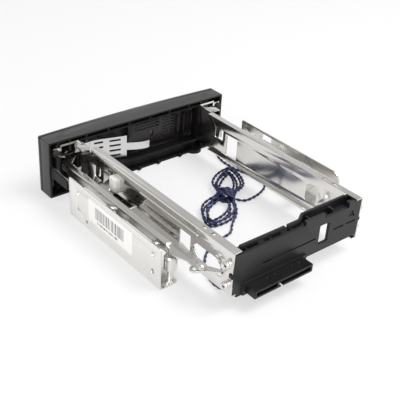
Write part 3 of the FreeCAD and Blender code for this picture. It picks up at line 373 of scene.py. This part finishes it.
def carried_frames(line):
    """A normal and a binormal at each point, each normal the last one with its part along the
    new tangent taken off, so that the frame doesn't spin."""
    tangent = np.gradient(line, axis=0)
    tangent /= np.linalg.norm(tangent, axis=1)[:, None]
    normal = np.empty_like(line)
    last = np.cross(tangent[0], (0, 0, 1.0))
    if np.linalg.norm(last) < 1e-6:
        last = np.array((1.0, 0, 0))
    for i, t in enumerate(tangent):
        last = last - t * (last @ t)
        last = last / np.linalg.norm(last)
        normal[i] = last
    return normal, np.cross(tangent, normal)


def twisted_pair(name, line):
    """Two round strands side by side that wind about the line: strand k lies at half a strand
    from it at the angle 2 pi s / pitch + k pi, and carries k as its mask."""
    line, s = evenly(line, LINE_STEP)
    normal, binormal = carried_frames(line)
    radius = LEAD_DIAMETER / 4
    around = np.linspace(0, 2 * math.pi, STRAND_SIDES, endpoint=False)[None, :, None]
    ring = np.cos(around) * normal[:, None] + np.sin(around) * binormal[:, None]
    strands = []
    for k in (0, 1):
        angle = (2 * math.pi * s / LEAD_PITCH + k * math.pi)[:, None]
        middle = line + radius * (np.cos(angle) * normal + np.sin(angle) * binormal)
        strands.append(capped_tube(name, middle[:, None] + radius * STRAND_SWELL * ring,
                                   [float(k)] * (len(s) * STRAND_SIDES)))
    with bpy.context.temp_override(active_object=strands[0], selected_editable_objects=strands):
        bpy.ops.object.join()
    strands[0].name = name
    return strands[0], line, s[-1]


bow_route = [bow_place(t) for t in np.arange(0, BOW_TURNS + 0.11, 1 / BOW_POINTS_PER_TURN)]
lead_middle = smooth_line("lead_line", FRONT_ROUTE + bow_route + REAR_ROUTE)
lead, lead_line, lead_length = twisted_pair("twisted_lead", lead_middle)
wrap, _, _ = twisted_pair("lead_wrap", wrap_line())

WIRE_BLUE, WIRE_BLACK = (0.016, 0.022, 0.125), (0.007, 0.009, 0.035)
insulation, tree, shader, add = finish_of("wire_insulation", Specular_IOR_Level=0.6)
strand = add("ShaderNodeAttribute", _attribute_name=MASK)
two_tone(tree, shader, add, strand.outputs["Fac"], WIRE_BLUE, WIRE_BLACK)
varied_gloss(tree, shader, add, 900.0, 3.0, 0.22, 0.42)
for piece in (lead, wrap):
    piece.data.materials.append(insulation)
    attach(piece, "cage")
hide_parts("lead_front_run", "lead_hank", "lead_rear_run")


# Sheet steel: rails, brackets, link bar and lever are pressed from bright nickel-plated sheet.
# The sheet has faint rolling lines along its length, soft clouding of the plating and bright,
# slightly rounded edges where it was cut and folded.
CLOUDING = noise_masks("clouding", ("Cloud", 40.0, 4.0, (1.0, 1.0, 1.0)),
                       ("Lines", 600.0, 2.0, (1.0, 0.03, 1.0)))


def sheet_steel(name, dark, light, rough_low, rough_high, bump=0.02):
    """Plated sheet: colour and roughness follow the clouding, and the bump the rolling lines."""
    return patterned(name, CLOUDING, "Cloud", "Lines", (dark, light), (rough_low, rough_high),
                     bump, 0.4 * MM, Metallic=1.0)


rail_steel = sheet_steel("rail_steel", (0.70, 0.68, 0.65), (0.82, 0.805, 0.78), 0.13, 0.24)
bracket_steel = sheet_steel("bracket_steel", (0.80, 0.785, 0.76), (0.90, 0.89, 0.87), 0.22, 0.34)
bar_steel = sheet_steel("bar_steel", (0.64, 0.62, 0.59), (0.80, 0.785, 0.76), 0.14, 0.26)
for material, width, nodes in (
        (rail_steel, 0.12, ("near_side_rail", "far_side_rail")),
        (bracket_steel, 0.12, ("near_mounting_bracket", "far_mounting_bracket")),
        (bar_steel, 0.14, ("link_bar", "eject_lever", "catch_hook"))):
    for node in nodes:
        softened(node, material, width * MM)
dress("door_arm", bar_steel)


# Fasteners and turned parts: bright plated screws, rivets, pins, posts and bushes, with fine
# turning marks, and the blackened screws in the bezel.
def turned(name, metallic, colour, scale, rough_low, rough_high):
    """Turned metal, whose fine marks vary its gloss."""
    material, tree, shader, add = finish_of(name, Metallic=metallic, Base_Color=(*colour, 1))
    varied_gloss(tree, shader, add, scale, 2.0, rough_low, rough_high)
    return material


turned_steel = turned("turned_steel", 1.0, (0.78, 0.77, 0.75), 1400.0, 0.12, 0.36)
blackened_steel = turned("blackened_steel", 0.9, (0.035, 0.034, 0.033), 1100.0, 0.30, 0.50)
for node in ("near_bracket_spacers", "far_bracket_spacers", "bar_guide_posts", "hinge_pin",
             "door_arm_pin", "link_rivet", "lever_pivot_screw", "rail_rivets", "spring_rivets",
             "rear_screws", "bar_guide_bushes"):
    dress(node, turned_steel)
for node in ("bezel_screws", "tongue_screws"):
    dress(node, blackened_steel)


# The heads of the four side screws at the rear: domed pan heads with a cross recess whose dark
# tone is painted shade, each laid over the plain head of its screw.
SIDE_SCREW_Y, SIDE_SCREW_HEIGHTS, HEAD_SEAT = 154.6, (16.6, 30.4), 54.2
HEAD_RADIUS, HEAD_RISE, HEAD_SKIRT = 2.5 * MM, 1.0 * MM, 0.8 * MM
HEAD_RINGS, HEAD_SPOKES = 26, 64
HEAD_LEAN = math.radians(24)
RECESS_HALF_WIDTH, RECESS_REACH = 0.42 * MM, 1.25 * MM
RECESS_SLOPE, RECESS_DEPTH = 0.12 * MM, 0.25 * MM
HEAD_TONE, RECESS_PAINTED_SHADE = (0.72, 0.71, 0.69), (0.05, 0.05, 0.05)
head_steel, tree, shader, add = finish_of("head_steel", Metallic=1.0, Roughness=0.22)
recess = add("ShaderNodeAttribute", _attribute_name=MASK)
# The recess is coloured near black by the mask, as painted shade.
two_tone(tree, shader, add, recess.outputs["Fac"], HEAD_TONE, RECESS_PAINTED_SHADE)


def recess_arm(u, v):
    """1 inside the arm of the cross recess that runs along v, 0 outside, with sloping walls."""
    room = np.minimum(RECESS_HALF_WIDTH - np.abs(u), RECESS_REACH - np.abs(v))
    return np.clip(room / RECESS_SLOPE + 0.5, 0, 1)


def cross_head(name, middle, side):
    """The top of a pan head that faces along X: at the polar place (r, q) its height is
    rise (1 - (r / R)^2.4), less the cross recess. A skirt goes down from its rim."""
    r = np.linspace(0, 1, HEAD_RINGS)[:, None] * HEAD_RADIUS
    q = np.linspace(0, 2 * math.pi, HEAD_SPOKES, endpoint=False)[None, :]
    a, b = r * np.cos(q), r * np.sin(q)
    deep = np.maximum(recess_arm(a, b), recess_arm(b, a))
    height = HEAD_RISE * (1 - (r / HEAD_RADIUS) ** 2.4) - deep * (HEAD_RISE + RECESS_DEPTH)
    y = a * math.cos(HEAD_LEAN) - b * math.sin(HEAD_LEAN)
    z = a * math.sin(HEAD_LEAN) + b * math.cos(HEAD_LEAN)
    x0, y0, z0 = here(*middle)
    points = np.stack([x0 + side * height, y0 + y, z0 + z], -1)
    if side < 0:
        points, deep = points[:, ::-1], deep[:, ::-1]
    skirt = points[-1:].copy()
    skirt[..., 0] = x0 - side * HEAD_SKIRT
    mask = np.vstack([deep, np.zeros((1, HEAD_SPOKES))])
    head = capped_tube(name, np.concatenate([points, skirt]), mask.ravel())
    head.data.materials.append(head_steel)
    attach(head, "cage")


for side, label in ((1, "near"), (-1, "far")):
    for k, z in enumerate(SIDE_SCREW_HEIGHTS):
        cross_head(f"rear_screw_head_{label}_{k}", (side * HEAD_SEAT, SIDE_SCREW_Y, z), side)


# Moulded plastic: the bezel frame, the rear housing, the door and the connectors. Each has the
# fine spark-eroded grain of its mould, and soft smudges that vary its tone and gloss.
MOULD_GRAIN = noise_masks("mould_grain", ("Grain", 2200.0, 3.0, (1.0, 1.0, 1.0)),
                          ("Smudge", 30.0, 3.0, (1.0, 1.0, 1.0)))


def moulded(name, dark, light, rough_low, rough_high, bump, **values):
    """Moulded plastic: the smudge mask varies its colour and gloss, the grain its bump."""
    return patterned(name, MOULD_GRAIN, "Smudge", "Grain", (dark, light),
                     (rough_low, rough_high), bump, 0.1 * MM, **values)


frame_black = moulded("frame_black", (0.050, 0.050, 0.051), (0.070, 0.070, 0.071),
                      0.42, 0.56, 0.25, Specular_IOR_Level=0.22)
fascia_black = moulded("fascia_black", (0.005, 0.005, 0.0055), (0.010, 0.010, 0.0105),
                       0.22, 0.32, 0.10, Specular_IOR_Level=0.35)
door_black = moulded("door_black", (0.016, 0.013, 0.014), (0.026, 0.022, 0.024),
                     0.22, 0.34, 0.08)
housing_black = moulded("housing_black", (0.006, 0.006, 0.0065), (0.013, 0.013, 0.0135),
                        0.36, 0.50, 0.22, Specular_IOR_Level=0.40)
connector_black = moulded("connector_black", (0.004, 0.004, 0.0045), (0.009, 0.009, 0.0095),
                          0.30, 0.44, 0.12, Specular_IOR_Level=0.35)
white_nylon = moulded("white_nylon", (0.78, 0.78, 0.75), (0.88, 0.88, 0.86), 0.35, 0.5, 0.1,
                      Subsurface_Weight=0.15, Subsurface_Radius=(0.002, 0.002, 0.0015))
for node, material, slot, width in (
        ("bezel_frame", frame_black, "matte_black", 0.15),
        ("bezel_fascia", fascia_black, "gloss_black", 0.30),
        ("door_panel", door_black, "door_black", 0.12),
        ("rear_housing", housing_black, "matte_black", 0.16),
        ("rear_plug", connector_black, "connector_black", 0.12),
        ("drive_socket", connector_black, "connector_black", 0.12),
        ("guide_block", white_nylon, "nylon", 0.15),
        ("bar_pad", fascia_black, "connector_black", 0.15),
        ("latch_slider", fascia_black, "gloss_black", 0.15),
        ("front_lead_header", white_nylon, "nylon", 0.12),
        ("rear_lead_header", white_nylon, "nylon", 0.12)):
    softened(node, material, width * MM)


# The painted shade inside the bezel: only the outer rim of the frame keeps its pale tone. Inside
# it, and along the edge that meets the fascia, the frame is painted dark as shade. The steel
# that stands in the bezel is painted dark with it, as painted shade and a painted reflection of
# the black plastic around it.
def painted_shade_box(material, dark, *limits):
    """Mixes a dark tone, painted shade, into the base colour inside a box of the bay, given as
    pairs of millimetres for |X|, Y from the back of the bezel, and Z."""
    tree, shader, add = links_for(material)
    plain_tone = shader.inputs["Base Color"].links[0].from_socket
    split = object_axes(tree, add)
    wide = add("ShaderNodeMath", _operation="ABSOLUTE")
    tree.links.new(split.outputs["X"], wide.inputs[0])
    sources = wide.outputs[0], split.outputs["Y"], split.outputs["Z"]
    masks = [within(tree, add, source, (low - shift) * MM, (high - shift) * MM)
             for source, shift, (low, high) in zip(sources, (0, MIDDLE_Y, 0), limits)]
    tone = add("ShaderNodeMix", _data_type="RGBA")
    tone.inputs[7].default_value = (*dark, 1)
    tree.links.new(product(tree, add, *masks), tone.inputs[0])
    tree.links.new(plain_tone, tone.inputs[6])
    tree.links.new(tone.outputs[2], shader.inputs["Base Color"])


MOULD_PAINTED_SHADE, STEEL_PAINTED_REFLECTION = (0.005, 0.005, 0.0055), (0.05, 0.048, 0.045)
# Painted shade on the bezel frame, then painted shade and reflection on the steel in the bezel.
painted_shade_box(frame_black, MOULD_PAINTED_SHADE, (-1, 73.3), (-20, 30), (-1, 40.9))
painted_shade_box(frame_black, MOULD_PAINTED_SHADE, (73.3, 75), (-20, -9.4), (-1, 50))
painted_shade_box(bracket_steel, STEEL_PAINTED_REFLECTION, (60, 75), (-20, 0.6), (-1, 50))
painted_shade_box(rail_steel, STEEL_PAINTED_REFLECTION, (54.5, 75), (-20, 2.2), (-1, 34.2))


# The pressure spring: a comb of thin stainless strip, brushed along its length.
spring_steel = sheet_steel("spring_steel", (0.62, 0.62, 0.62), (0.78, 0.78, 0.77), 0.16, 0.3,
                           bump=0.05)
dress("pressure_spring", spring_steel)


# Boards, contacts and lights: green boards with a satin mask, gold contact strips, grey
# moulded parts and clear lenses.
board_green = moulded("board_green", (0.010, 0.045, 0.020), (0.014, 0.07, 0.03), 0.25, 0.4, 0.1)
part_grey = moulded("part_grey", (0.03, 0.03, 0.033), (0.06, 0.06, 0.062), 0.4, 0.6, 0.15)
contact_gold = sheet_steel("contact_gold", (0.80, 0.56, 0.20), (0.92, 0.70, 0.30), 0.15, 0.28)
clear_lens = moulded("clear_lens", (0.62, 0.66, 0.70), (0.72, 0.76, 0.80), 0.08, 0.16, 0.02)
for node in ("backplane_board", "indicator_board"):
    dress(node, board_green)
dress("board_parts", part_grey)
for node in ("socket_contacts", "plug_contacts"):
    dress(node, contact_gold)
for node in ("indicator_lamps", "indicator_lenses"):
    dress(node, clear_lens)


# The label: white paper on the near bracket, with plain bars and a row of blocks in a generic
# pattern that spells nothing. Lengths along Y are taken from the front end of the bars.
BARS_FRONT = (54.0 - MIDDLE_Y) * MM
BARS_ALONG, BARS_HEIGHT = (0, 31), (13.2, 21.4)
BLOCKS_ALONG, BLOCKS_HEIGHT = (2, 26), (10.4, 11.8)
PAPER_WHITE, INK = (0.86, 0.85, 0.83), (0.05, 0.05, 0.055)
paper, tree, shader, add = finish_of("label_paper", Roughness=0.6)
split = object_axes(tree, add)


def printed(scale, threshold, along, height):
    """Uneven stripes across Y where 1-D noise is over the threshold, printed in one field."""
    noise = add("ShaderNodeTexNoise", _noise_dimensions="1D", Scale=scale, Detail=0.0)
    tree.links.new(split.outputs["Y"], noise.inputs["W"])
    return product(
        tree, add, compared(tree, add, noise.outputs["Fac"], "GREATER_THAN", threshold),
        within(tree, add, split.outputs["Y"], *(BARS_FRONT + v * MM for v in along)),
        within(tree, add, split.outputs["Z"], *(v * MM for v in height)))


all_ink = add("ShaderNodeMath", _operation="ADD", _use_clamp=True)
tree.links.new(printed(1500.0, 0.52, BARS_ALONG, BARS_HEIGHT), all_ink.inputs[0])
tree.links.new(printed(900.0, 0.5, BLOCKS_ALONG, BLOCKS_HEIGHT), all_ink.inputs[1])
two_tone(tree, shader, add, all_ink.outputs[0], PAPER_WHITE, INK)
dress("bracket_label", paper)


# The studio: a white floor, two large soft lamps and a sky that fades overhead. The floor glows
# a little for the camera and in mirrors, and keeps the shadow of the object.
FLOOR_HALF, FLOOR_WHITE, GLOW_SHARE = 3, 0.80, 0.55
SKY_FADE = {"From Min": 0.12, "From Max": 0.62, "To Min": 1.0, "To Max": 0.56}
floor_mesh = bpy.data.meshes.new("floor")
floor_corners = [(x * FLOOR_HALF, y * FLOOR_HALF, 0)
                 for x, y in ((-1, -1), (1, -1), (1, 1), (-1, 1))]
floor_mesh.from_pydata(floor_corners, [], [(0, 1, 2, 3)])
floor = bpy.data.objects.new("floor", floor_mesh)
scene.collection.objects.link(floor)
floor_white, tree, shader, add = finish_of("floor_white", Roughness=0.6, Specular_IOR_Level=0.1,
                                           Base_Color=(FLOOR_WHITE, FLOOR_WHITE, FLOOR_WHITE, 1))
glow = add("ShaderNodeEmission", Strength=1.0)
blend = add("ShaderNodeMixShader")
path = add("ShaderNodeLightPath")
either = add("ShaderNodeMath", _operation="MAXIMUM")
share = add("ShaderNodeMath", _operation="MULTIPLY")
share.inputs[1].default_value = GLOW_SHARE
tree.links.new(path.outputs["Is Camera Ray"], either.inputs[0])
tree.links.new(path.outputs["Is Glossy Ray"], either.inputs[1])
tree.links.new(either.outputs[0], share.inputs[0])
tree.links.new(share.outputs[0], blend.inputs[0])
tree.links.new(shader.outputs[0], blend.inputs[1])
tree.links.new(glow.outputs[0], blend.inputs[2])
tree.links.new(blend.outputs[0], tree.nodes["Material Output"].inputs["Surface"])
floor_mesh.materials.append(floor_white)

world = bpy.data.worlds.new("studio")
scene.world = world
world.use_nodes = True
tree = world.node_tree
sky = tree.nodes["Background"]
sky.inputs["Color"].default_value = (1, 1, 1, 1)
compass = tree.nodes.new("ShaderNodeTexCoord")
split = tree.nodes.new("ShaderNodeSeparateXYZ")
fade = tree.nodes.new("ShaderNodeMapRange")
fade.interpolation_type = "SMOOTHSTEP"
for label, value in SKY_FADE.items():
    fade.inputs[label].default_value = value
path = tree.nodes.new("ShaderNodeLightPath")
plain = tree.nodes.new("ShaderNodeMix")
plain.inputs[3].default_value = 1.0
tree.links.new(compass.outputs["Generated"], split.inputs["Vector"])
tree.links.new(split.outputs["Z"], fade.inputs["Value"])
tree.links.new(path.outputs["Is Camera Ray"], plain.inputs[0])
tree.links.new(fade.outputs["Result"], plain.inputs[2])
tree.links.new(plain.outputs[0], sky.inputs["Strength"])


def soft_lamp(name, place, aim, size, power):
    """A square area lamp at a place, facing its aim."""
    data = bpy.data.lights.new(name, "AREA")
    data.size = size
    data.energy = power
    lamp = bpy.data.objects.new(name, data)
    scene.collection.objects.link(lamp)
    lamp.location = place
    lamp.rotation_euler = (Vector(aim) - Vector(place)).to_track_quat("-Z", "Y").to_euler()


soft_lamp("key", (-0.45, 0.35, 1.10), (0, 0, 0), 0.7, 11.0)
soft_lamp("fill", (0.9, 0.5, 0.5), (0, 0, 0.02), 0.9, 5.0)
